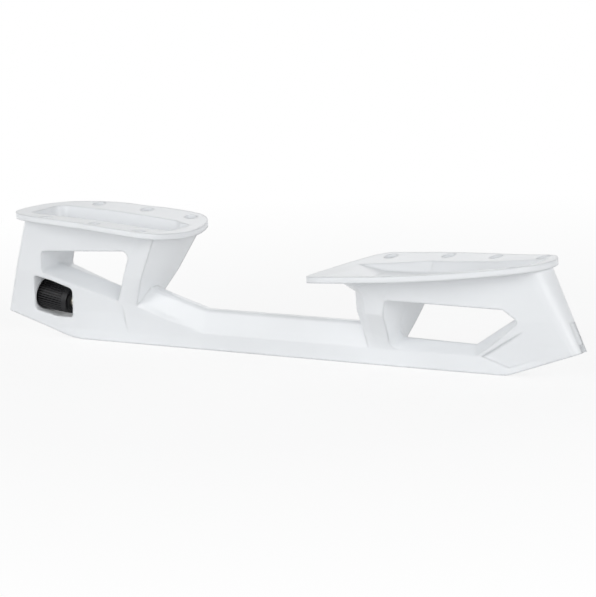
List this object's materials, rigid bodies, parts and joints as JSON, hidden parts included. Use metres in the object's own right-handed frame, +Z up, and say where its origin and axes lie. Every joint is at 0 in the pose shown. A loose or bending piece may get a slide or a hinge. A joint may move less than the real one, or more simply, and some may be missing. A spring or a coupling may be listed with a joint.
{
  "type": "skate blade holder",
  "caption": "Moulded holder that joins a steel runner to a skate boot, with a heel and a toe tower, sole flanges with rivet holes, and a ribbed dial that draws a hook to lock the runner.",
  "frame": {"origin": "On the bottom plane of the rail, in the middle plane, half way between the heel tip and the toe tip.", "axes": "+X runs from the heel to the toe, +Y to the left of the skater, +Z up to the boot."},
  "size_m": [0.2841, 0.0594, 0.0557],
  "materials": {
    "holder_plastic": "moulded white plastic with a satin gloss",
    "dial_plastic": "black moulded plastic",
    "insert_brass": "turned",
    "steel": "stainless, machined",
    "spring_steel": "drawn wire"
  },
  "bodies": {
    "holder": {"holder_body": "holder_plastic", "thrust_washer": "steel", "guide_bush": "insert_brass", "release_spring": "spring_steel"},
    "dial": {"lock_dial": "dial_plastic", "dial_insert": "insert_brass"},
    "hook": {"hook_bolt": "steel", "stop_clip": "steel"}
  },
  "joints": [
    {"name": "dial_spin", "type": "hinge", "parent": "holder", "child": "dial", "pos_m": [-0.1255, 0, 0.0185], "axis": [0.9854, 0, -0.1702], "range_deg": [0, 1440]},
    {"name": "hook_draw", "type": "slide", "parent": "holder", "child": "hook", "axis": [-0.9854, 0, 0.1702], "range_m": [0, 0.0028], "deforming": ["release_spring"]}
  ],
  "couplings": [
    {"joint": "dial_spin", "follows": "hook_draw", "rad_per_m": 8975.9}
  ]
}
